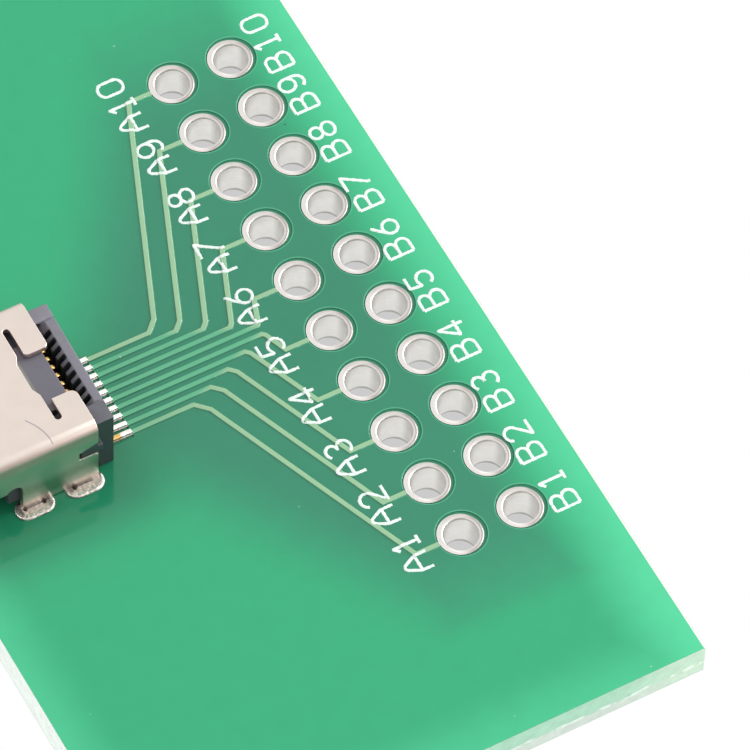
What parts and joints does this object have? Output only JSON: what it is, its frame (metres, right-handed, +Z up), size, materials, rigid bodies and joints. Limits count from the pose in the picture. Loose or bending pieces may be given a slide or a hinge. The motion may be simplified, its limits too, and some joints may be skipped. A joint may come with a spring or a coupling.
{
  "type": "hdmi breakout board",
  "caption": "Flat green circuit board with a micro HDMI receptacle at one edge, fanned traces and two columns of plated header holes.",
  "frame": {"origin": "board's centre on the underside of the board", "axes": "+X from the receptacle to the header columns, +Y along the columns from pin 1 to pin 10, +Z up"},
  "size_m": [0.0233, 0.0398, 0.005],
  "materials": {
    "laminate": "sawn glass-fibre laminate",
    "solder_mask": "glossy green coat",
    "tin": "levelled tin, satin",
    "nickel": "nickel-plated sheet, satin",
    "gold": "thin gold plate",
    "plastic": "dark grey moulding",
    "solder": "bright solder"
  },
  "bodies": {
    "root": {"board_laminate": "laminate", "solder_mask_top": "solder_mask", "solder_mask_bottom": "solder_mask", "net_a1": "tin", "net_a2": "tin", "net_a3": "tin", "net_a4": "tin", "net_a5": "tin", "net_a6": "tin", "net_a7": "tin", "net_a8": "tin", "net_a9": "tin", "net_a10": "tin", "net_b1": "tin", "net_b2": "tin", "net_b3": "tin", "net_b4": "tin", "net_b5": "tin", "net_b6": "tin", "net_b7": "tin", "net_b8": "tin", "net_b9": "tin", "net_b10": "tin", "leg_slot_platings": "tin", "connector_shell": "nickel", "insulator": "plastic", "tail_comb": "plastic", "contact_a1": "gold", "contact_a2": "gold", "contact_a3": "gold", "contact_a4": "gold", "contact_a5": "gold", "contact_a6": "gold", "contact_a7": "gold", "contact_a8": "gold", "contact_a9": "gold", "contact_a10": "gold", "contact_b1": "gold", "contact_b2": "gold", "contact_b3": "gold", "contact_b4": "gold", "contact_b5": "gold", "contact_b6": "gold", "contact_b7": "gold", "contact_b8": "gold", "contact_b9": "gold", "tail_solder_a": "solder", "tail_solder_b": "solder", "leg_solder": "solder"}
  },
  "joints": []
}
